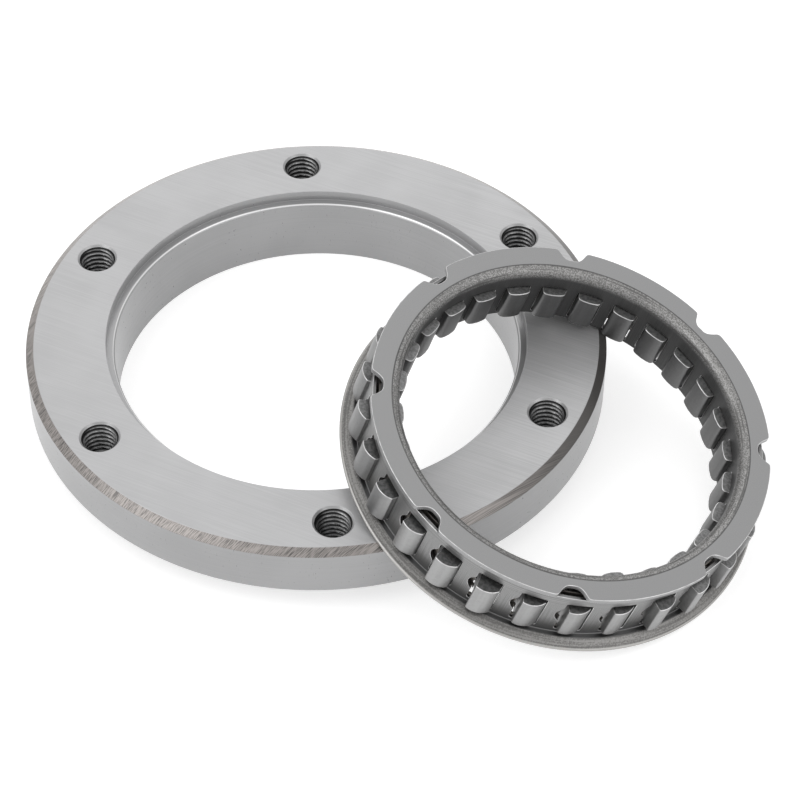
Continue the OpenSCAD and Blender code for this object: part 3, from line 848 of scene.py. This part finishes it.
def inner_cage_mesh(cage, window, turn):
    """Inner cage: a windowed wall that bends outwards into a flange with notches.

    Above the windows each column slides from its place beside a window to its place in the pattern
    of notches, and the flange's rows run from the bend to the notched edge. Between two notches the
    edge is plain for plain_steps columns on each side of the middle.
    """
    foot_rows, window_rows, rise_rows, bend_rows, flange_rows = 3, 18, 6, 9, 9
    plain_steps = 8
    wall_r = cage.bore_r + cage.inner_sheet
    under_z = cage.height - cage.flange_t
    bend_foot = cage.height - cage.bend_r
    low = np.linspace(cage.foot, window.foot, foot_rows)
    heights = np.concatenate([low, eased(window.foot, window.inner_top, window_rows)[1:]])
    arc = np.linspace(math.pi, math.pi / 2, bend_rows)
    skins = []
    notch_pitch = 2 * math.pi / cage.notch_count
    period, steps = periodic_columns(COLUMNS, COLUMNS_A_PITCH, 0)
    half_steps = COLUMNS // cage.notch_count // 2
    first = round((cage.notch_angle - turn) / (2 * math.pi) * COLUMNS)
    notch_period, notch_steps = periodic_columns(COLUMNS, 2 * half_steps, first)
    mouth = math.asin(cage.notch_zone / cage.flange_r)
    notch_local = column_angles(notch_steps, mouth, half_steps - plain_steps, half_steps, notch_pitch / 2)
    notch_angles = cage.notch_angle + notch_period * notch_pitch + notch_local
    edge_r = cage.flange_r - notch_bite(cage.flange_r * np.sin(notch_local), cage)
    for radius, bend, bend_z, level in (
            (wall_r, cage.hollow_r, under_z - cage.hollow_r, under_z),
            (cage.bore_r, cage.bend_r, bend_foot, cage.height)):
        rise = np.linspace(window.inner_top, bend_z, rise_rows)[1:]
        bend_end = radius + bend
        upright = np.full(len(heights) + len(rise), radius)
        z = np.concatenate([heights, rise, bend_z + bend * np.sin(arc[1:])])[:, None]
        r = np.concatenate([upright, bend_end + bend * np.cos(arc[1:])])[:, None]
        side = window_sides(z, window.inner_half, window.foot, window.inner_top, window.corner)
        edge = np.arcsin(side / radius)
        local = column_angles(steps[None], edge, WINDOW_STEPS, WEB_STEPS, SPRAG_PITCH / 2)
        slide = np.clip((np.arange(len(z)) - len(heights)) / rise_rows, 0, 1)[:, None]
        angle = (1 - slide) * (turn + period * SPRAG_PITCH + local) + slide * notch_angles
        across = np.linspace(0, 1, flange_rows)[1:, None]
        flange = wound(bend_end + across * (edge_r - bend_end), notch_angles[None], level)
        skins.append(np.concatenate([wound(r, angle, z), flange]))
    rows = np.arange(len(skins[0]) - 1)
    in_window = (rows >= foot_rows - 1) & (rows < foot_rows + window_rows - 2)
    return sheet_metal(*skins, metal_cells(in_window, steps))


def ribbon_mesh(ribbon, turn):
    """Thin windowed strip, with a bent tongue on one side of each window."""
    inner_r, top = ribbon.outer_r - ribbon.thickness, ribbon.foot + ribbon.height
    low, high = ribbon.foot + ribbon.edge, top - ribbon.edge
    z = np.array([ribbon.foot, low, high, top])
    profiles = [np.column_stack([np.full(4, radius), z]) for radius in (ribbon.outer_r, inner_r)]
    sides = [np.full((4, 1), side) for side in (ribbon.left, ribbon.right)]
    strip = walled(*profiles, low, high, *sides, turn)
    mid_r, half, root = ribbon.outer_r - ribbon.thickness / 2, ribbon.thickness / 2, 0.6 * MM
    along = np.linspace(0, 1, 9)
    rise = ribbon.tongue_rise * along * along * (3 - 2 * along)
    y = np.concatenate([[-root], ribbon.tongue_reach * along])
    x = mid_r + np.concatenate([[0], rise])
    outline = np.concatenate([np.column_stack([x + half, y]), np.column_stack([x - half, y])[::-1]])
    tongue, tongue_faces = extruded(outline, ribbon.tongue_foot, ribbon.tongue_foot + ribbon.tongue_h)
    lead = turn - math.asin(ribbon.left / mid_r)
    tongues = [(turned(tongue, lead + number * SPRAG_PITCH), tongue_faces) for number in range(len(SPRAGS))]
    return joined([strip] + tongues)


def sprag_outline(sprag):
    """Section of a sprag: two cam arcs of unlike radius, joined by flanks that are drawn in at the waist.

    The radii round, in turn, the outer cam's points, a flank, the waist, a flank, and the same again
    from the inner cam on.
    """
    outer_points, inner_points = 13, 5
    outer_c = np.array([sprag.outer_tip_r - sprag.outer_cam_r, sprag.head_offset - sprag.outer_offset])
    inner_c = np.array([sprag.inner_tip_r + sprag.inner_cam_r, sprag.inner_offset])
    half_o, half_i = sprag.outer_w / 2, sprag.inner_w / 2
    sweep = np.linspace(math.asin((sprag.outer_offset - half_o) / sprag.outer_cam_r),
                        math.asin((sprag.outer_offset + half_o) / sprag.outer_cam_r), outer_points)
    outer = outer_c + sprag.outer_cam_r * np.column_stack([np.cos(sweep), np.sin(sweep)])
    sweep = np.linspace(math.asin((half_i - sprag.inner_offset) / sprag.inner_cam_r),
                        math.asin((-half_i - sprag.inner_offset) / sprag.inner_cam_r), inner_points)
    inner = inner_c + sprag.inner_cam_r * np.column_stack([-np.cos(sweep), np.sin(sweep)])
    middle = (sprag.outer_flank_r + sprag.inner_flank_r) / 2
    pinch = sprag.waist_pinch
    right = [(sprag.outer_flank_r, sprag.head_offset + half_o), (middle, (half_o + half_i) / 2 - pinch),
             (sprag.inner_flank_r, half_i)]
    left = [(sprag.inner_flank_r, -half_i), (middle, pinch - (half_o + half_i) / 2),
            (sprag.outer_flank_r, sprag.head_offset - half_o)]
    corners = np.concatenate([outer, right, inner, left])
    cam_end, flank, waist = 0.3 * MM, 0.6 * MM, 2 * MM
    radii = [sprag.outer_corner] + [0] * (outer_points - 2) + [cam_end, flank, waist, flank]
    radii += [sprag.inner_corner] + [0] * (inner_points - 2) + [sprag.inner_corner, flank, waist, flank]
    return rounded(corners, radii)


def sprag_slide(name, sprag, cage):
    """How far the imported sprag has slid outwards, from the largest radius that its mesh reaches."""
    node = frame["nodes"][name]
    flat = np.empty(3 * len(node.data.vertices))
    node.data.vertices.foreach_get("co", flat)
    turned_points = flat.reshape(-1, 3) @ np.array(node.matrix_world.to_3x3()).T
    local = to_cage(turned_points + np.array(node.matrix_world.translation), cage.height)
    tip = math.hypot(sprag.outer_tip_r, sprag.head_offset - sprag.outer_offset)
    return np.hypot(local[:, 0], local[:, 1]).max() - tip


class BuildStep:
    """What the operators share: each builds from the scene's settings."""

    def execute(self, context):
        self.build(context.scene.clutch)
        return {"FINISHED"}


def leaning_object(name, mesh, cage):
    """A mesh in the cage's coordinates as an object in the world's."""
    points, faces = mesh
    return bare_object(name, leaned(points, cage.height), faces)


def add_attribute(piece, name, domain, values):
    """One number for each point or face, which the finish reads."""
    piece.data.attributes.new(name, "FLOAT", domain).data.foreach_set("value", values.astype(np.float32))


class CLUTCH_OT_outer_race(BuildStep, bpy.types.Operator):
    """Turn the outer race ring and cut its holes and threads"""
    bl_idname = "clutch.outer_race"
    bl_label = "Outer race ring"

    def build(self, settings):
        ring, finish = settings.ring, settings.finish
        piece = bare_object("outer_race_ring", *lathe(ring_profile(ring), 360))
        flange_z, sink, over = ring.height - ring.flange_h, ring.countersink, MM
        mouth_r = ring.hole_r + sink + over
        shape = np.array([[mouth_r, flange_z - over], [ring.hole_r, flange_z + sink],
                          [ring.hole_r, ring.height - sink], [mouth_r, ring.height + over]])
        points, faces = plug(shape, 64)
        places = hole_places(ring)
        cut_away(piece, bare_object("hole_cutter", *joined([(points + place, faces) for place in places])))
        dress(piece, ring_steel(ring, finish), "ring", ["outer_race"])
        points, faces, crest = thread_sleeve(ring)
        thread = thread_steel(finish)
        for number, place in enumerate(places, 1):
            sleeve = bare_object("thread_%d" % number, points + place, faces)
            add_attribute(sleeve, "crest", "POINT", crest)
            dress(sleeve, thread, "ring", [], sharp=60)


class CLUTCH_OT_outer_cage(BuildStep, bpy.types.Operator):
    """Draw the outer cage with its windows and rim"""
    bl_idname = "clutch.outer_cage"
    bl_label = "Outer cage"

    def build(self, settings):
        cage, finish = settings.cage, settings.finish
        mesh = outer_cage_mesh(cage, settings.window, sprag_angle(SPRAGS[0], cage.height))
        piece = leaning_object("outer_cage_wall", mesh, cage)
        dress(piece, wall_steel(cage, finish), "outer_cage", ["outer_cage"],
              cage.edge_round, edge=edge_highlight_steel(finish))


class CLUTCH_OT_inner_cage(BuildStep, bpy.types.Operator):
    """Form the inner cage with its windows, bend and notched flange"""
    bl_idname = "clutch.inner_cage"
    bl_label = "Inner cage"

    def build(self, settings):
        cage, finish = settings.cage, settings.finish
        mesh = inner_cage_mesh(cage, settings.window, sprag_angle(SPRAGS[0], cage.height))
        piece = leaning_object("inner_cage_flange", mesh, cage)
        dress(piece, flange_steel(cage, finish), "inner_cage", ["inner_cage"],
              cage.edge_round, edge=edge_highlight_steel(finish))


class CLUTCH_OT_ribbon(BuildStep, bpy.types.Operator):
    """Wind the ribbon spring with its tongues"""
    bl_idname = "clutch.ribbon"
    bl_label = "Ribbon spring"

    def build(self, settings):
        cage = settings.cage
        mesh = ribbon_mesh(settings.ribbon, sprag_angle(SPRAGS[0], cage.height))
        piece = leaning_object("ribbon_strip", mesh, cage)
        dress(piece, spring_steel(cage, settings.finish), "outer_cage", ["ribbon_spring"])


class CLUTCH_OT_sprags(BuildStep, bpy.types.Operator):
    """Shape every sprag and set it in its windows"""
    bl_idname = "clutch.sprags"
    bl_label = "Sprags"

    def build(self, settings):
        cage, sprag, finish = settings.cage, settings.sprag, settings.finish
        steel, edge = sprag_steel(cage, finish), edge_highlight_steel(finish)
        points, faces = extruded(sprag_outline(sprag), sprag.foot, sprag.foot + sprag.length)
        ends = np.zeros(len(faces))
        ends[-2:] = 1
        for name in SPRAGS:
            slid = points + np.array([sprag_slide(name, sprag, cage), 0, 0])
            placed = turned(slid, sprag_angle(name, cage.height))
            piece = leaning_object(name + "_cam", (placed, faces), cage)
            add_attribute(piece, "end_face", "FACE", ends)
            dress(piece, steel, name, [name], sprag.edge_round, edge=edge)


# Name, place, side in metres and power in watts of each softbox
SOFTBOXES = (
    ("key_light", (-0.7, -0.35, 0.9), 0.8, 3.2),
    ("fill_light", (0.9, -0.6, 0.7), 0.7, 1.6),
    ("back_light", (0.15, 1.1, 1.0), 0.8, 1.4),
)
CLUTCH_MIDDLE = np.array([0.02, -0.01, 0.01])
FLOOR_GLOW = 0.6
HORIZON_LIGHT, ZENITH_LIGHT = 0.72, 0.95
WHITE = (1, 1, 1, 1)


def set_out(scene, piece, axes, place):
    """Puts a camera or lamp in the scene, with its own three axes along the given ones."""
    turn = Matrix(axes).transposed().to_4x4()
    turn.translation = place
    piece.matrix_world = turn
    scene.collection.objects.link(piece)


def floor_material():
    """Pale floor, with white added to it where the camera, a reflection or glass looks at it."""
    material = bpy.data.materials.new("pale_floor")
    material.use_nodes = True
    nodes = Nodes(material.node_tree)
    path = nodes.add("LightPath")
    seen = nodes.maths("MAXIMUM", path.outputs["Is Camera Ray"], path.outputs["Is Transmission Ray"])
    seen = nodes.maths("MAXIMUM", seen, path.outputs["Is Glossy Ray"])
    white = nodes.add("Emission", Color=WHITE, Strength=nodes.times(seen, FLOOR_GLOW))
    lit = nodes.add("BsdfDiffuse", Color=(0.62, 0.62, 0.62, 1))
    both = nodes.add("AddShader", i0=lit.outputs[0], i1=white.outputs[0])
    nodes.add("OutputMaterial", Surface=both.outputs[0])
    return material


class CLUTCH_OT_stage(BuildStep, bpy.types.Operator):
    """Set the camera, the floor, the softboxes and the white surroundings"""
    bl_idname = "clutch.stage"
    bl_label = "Stage"

    def build(self, settings):
        scene = bpy.context.scene
        self.camera(scene, settings.stage)
        self.floor(settings.stage)
        self.surroundings(scene)
        for softbox in SOFTBOXES:
            self.softbox(scene, *softbox)
        scene.view_settings.view_transform = "Standard"

    def camera(self, scene, stage):
        """Camera that looks along +Y and down, rolled about its own axis."""
        tilt, roll = stage.camera_tilt, stage.camera_roll
        right = np.array([1.0, 0, 0])
        down = np.array([0, -math.sin(tilt), -math.cos(tilt)])
        forward = np.array([0, math.cos(tilt), -math.sin(tilt)])
        rolled_right = math.cos(roll) * right - math.sin(roll) * down
        rolled_down = math.sin(roll) * right + math.cos(roll) * down
        data = bpy.data.cameras.new("camera")
        data.lens = stage.lens
        data.sensor_width = 36
        camera = bpy.data.objects.new("camera", data)
        set_out(scene, camera, [rolled_right, -rolled_down, -forward],
                (stage.camera_x, -stage.camera_back, stage.camera_z))
        scene.camera = camera

    def floor(self, stage):
        """Square floor round the origin."""
        half = stage.floor_size / 2
        points = np.array([[-half, -half, 0], [half, -half, 0], [half, half, 0], [-half, half, 0]])
        piece = bare_object("floor", points, [[0, 1, 2, 3]])
        piece.data.materials.append(floor_material())

    def surroundings(self, scene):
        """White to the camera; for the light, a sky that is brighter overhead than at the horizon."""
        world = bpy.data.worlds.new("studio")
        world.use_nodes = True
        scene.world = world
        nodes = Nodes(world.node_tree)
        up = nodes.add("SeparateXYZ", Vector=nodes.add("TexCoord").outputs["Generated"])
        level = nodes.add("MapRange", Value=up.outputs[2], From_Min=-0.1, From_Max=0.9,
                          To_Min=HORIZON_LIGHT, To_Max=ZENITH_LIGHT)
        sky = nodes.add("Background", Color=WHITE, Strength=level.outputs[0])
        white = nodes.add("Background", Color=WHITE, Strength=1.0)
        seen = nodes.add("LightPath").outputs["Is Camera Ray"]
        mixed = nodes.add("MixShader", i0=seen, i1=sky.outputs[0], i2=white.outputs[0])
        nodes.add("OutputWorld", Surface=mixed.outputs[0])

    def softbox(self, scene, name, place, side, power):
        """Square lamp that faces the middle of the clutch."""
        data = bpy.data.lights.new(name, "AREA")
        data.size = side
        data.energy = power
        lamp = bpy.data.objects.new(name, data)
        back = np.array(place) - CLUTCH_MIDDLE
        back = back / np.linalg.norm(back)
        side_way = np.cross([0, 0, 1], back)
        side_way = side_way / np.linalg.norm(side_way)
        set_out(scene, lamp, [side_way, np.cross(back, side_way), back], place)


class CLUTCH_PT_panel(bpy.types.Panel):
    """The clutch's pieces and their sizes"""
    bl_label = "Starter clutch"
    bl_idname = "CLUTCH_PT_panel"
    bl_space_type = "VIEW_3D"
    bl_region_type = "UI"
    bl_category = "Clutch"

    def draw(self, context):
        settings = context.scene.clutch
        for operator in OPERATORS:
            self.layout.operator(operator.bl_idname)
        for group in (settings.ring, settings.cage, settings.window, settings.ribbon, settings.sprag,
                      settings.finish, settings.stage):
            box = self.layout.box()
            for name in group.__annotations__:
                box.prop(group, name)


GROUPS = (RingSizes, CageSizes, WindowSizes, RibbonSizes, SpragSizes, Finishes, StageSettings,
          ClutchSettings)
OPERATORS = (CLUTCH_OT_stage, CLUTCH_OT_outer_race, CLUTCH_OT_outer_cage, CLUTCH_OT_inner_cage,
             CLUTCH_OT_ribbon, CLUTCH_OT_sprags)


def register():
    """Registers the classes and the scene's settings."""
    for group in GROUPS + OPERATORS + (CLUTCH_PT_panel,):
        bpy.utils.register_class(group)
    bpy.types.Scene.clutch = bpy.props.PointerProperty(
        type=ClutchSettings, name="Starter clutch", description="Sizes and finishes of the starter clutch")


def unregister():
    """Removes what register added."""
    del bpy.types.Scene.clutch
    for group in reversed(GROUPS + OPERATORS + (CLUTCH_PT_panel,)):
        bpy.utils.unregister_class(group)


def main():
    """Builds every piece in order."""
    register()
    bpy.ops.clutch.stage()
    bpy.ops.clutch.outer_race()
    bpy.ops.clutch.outer_cage()
    bpy.ops.clutch.inner_cage()
    bpy.ops.clutch.ribbon()
    bpy.ops.clutch.sprags()


if __name__ == "__main__":
    main()
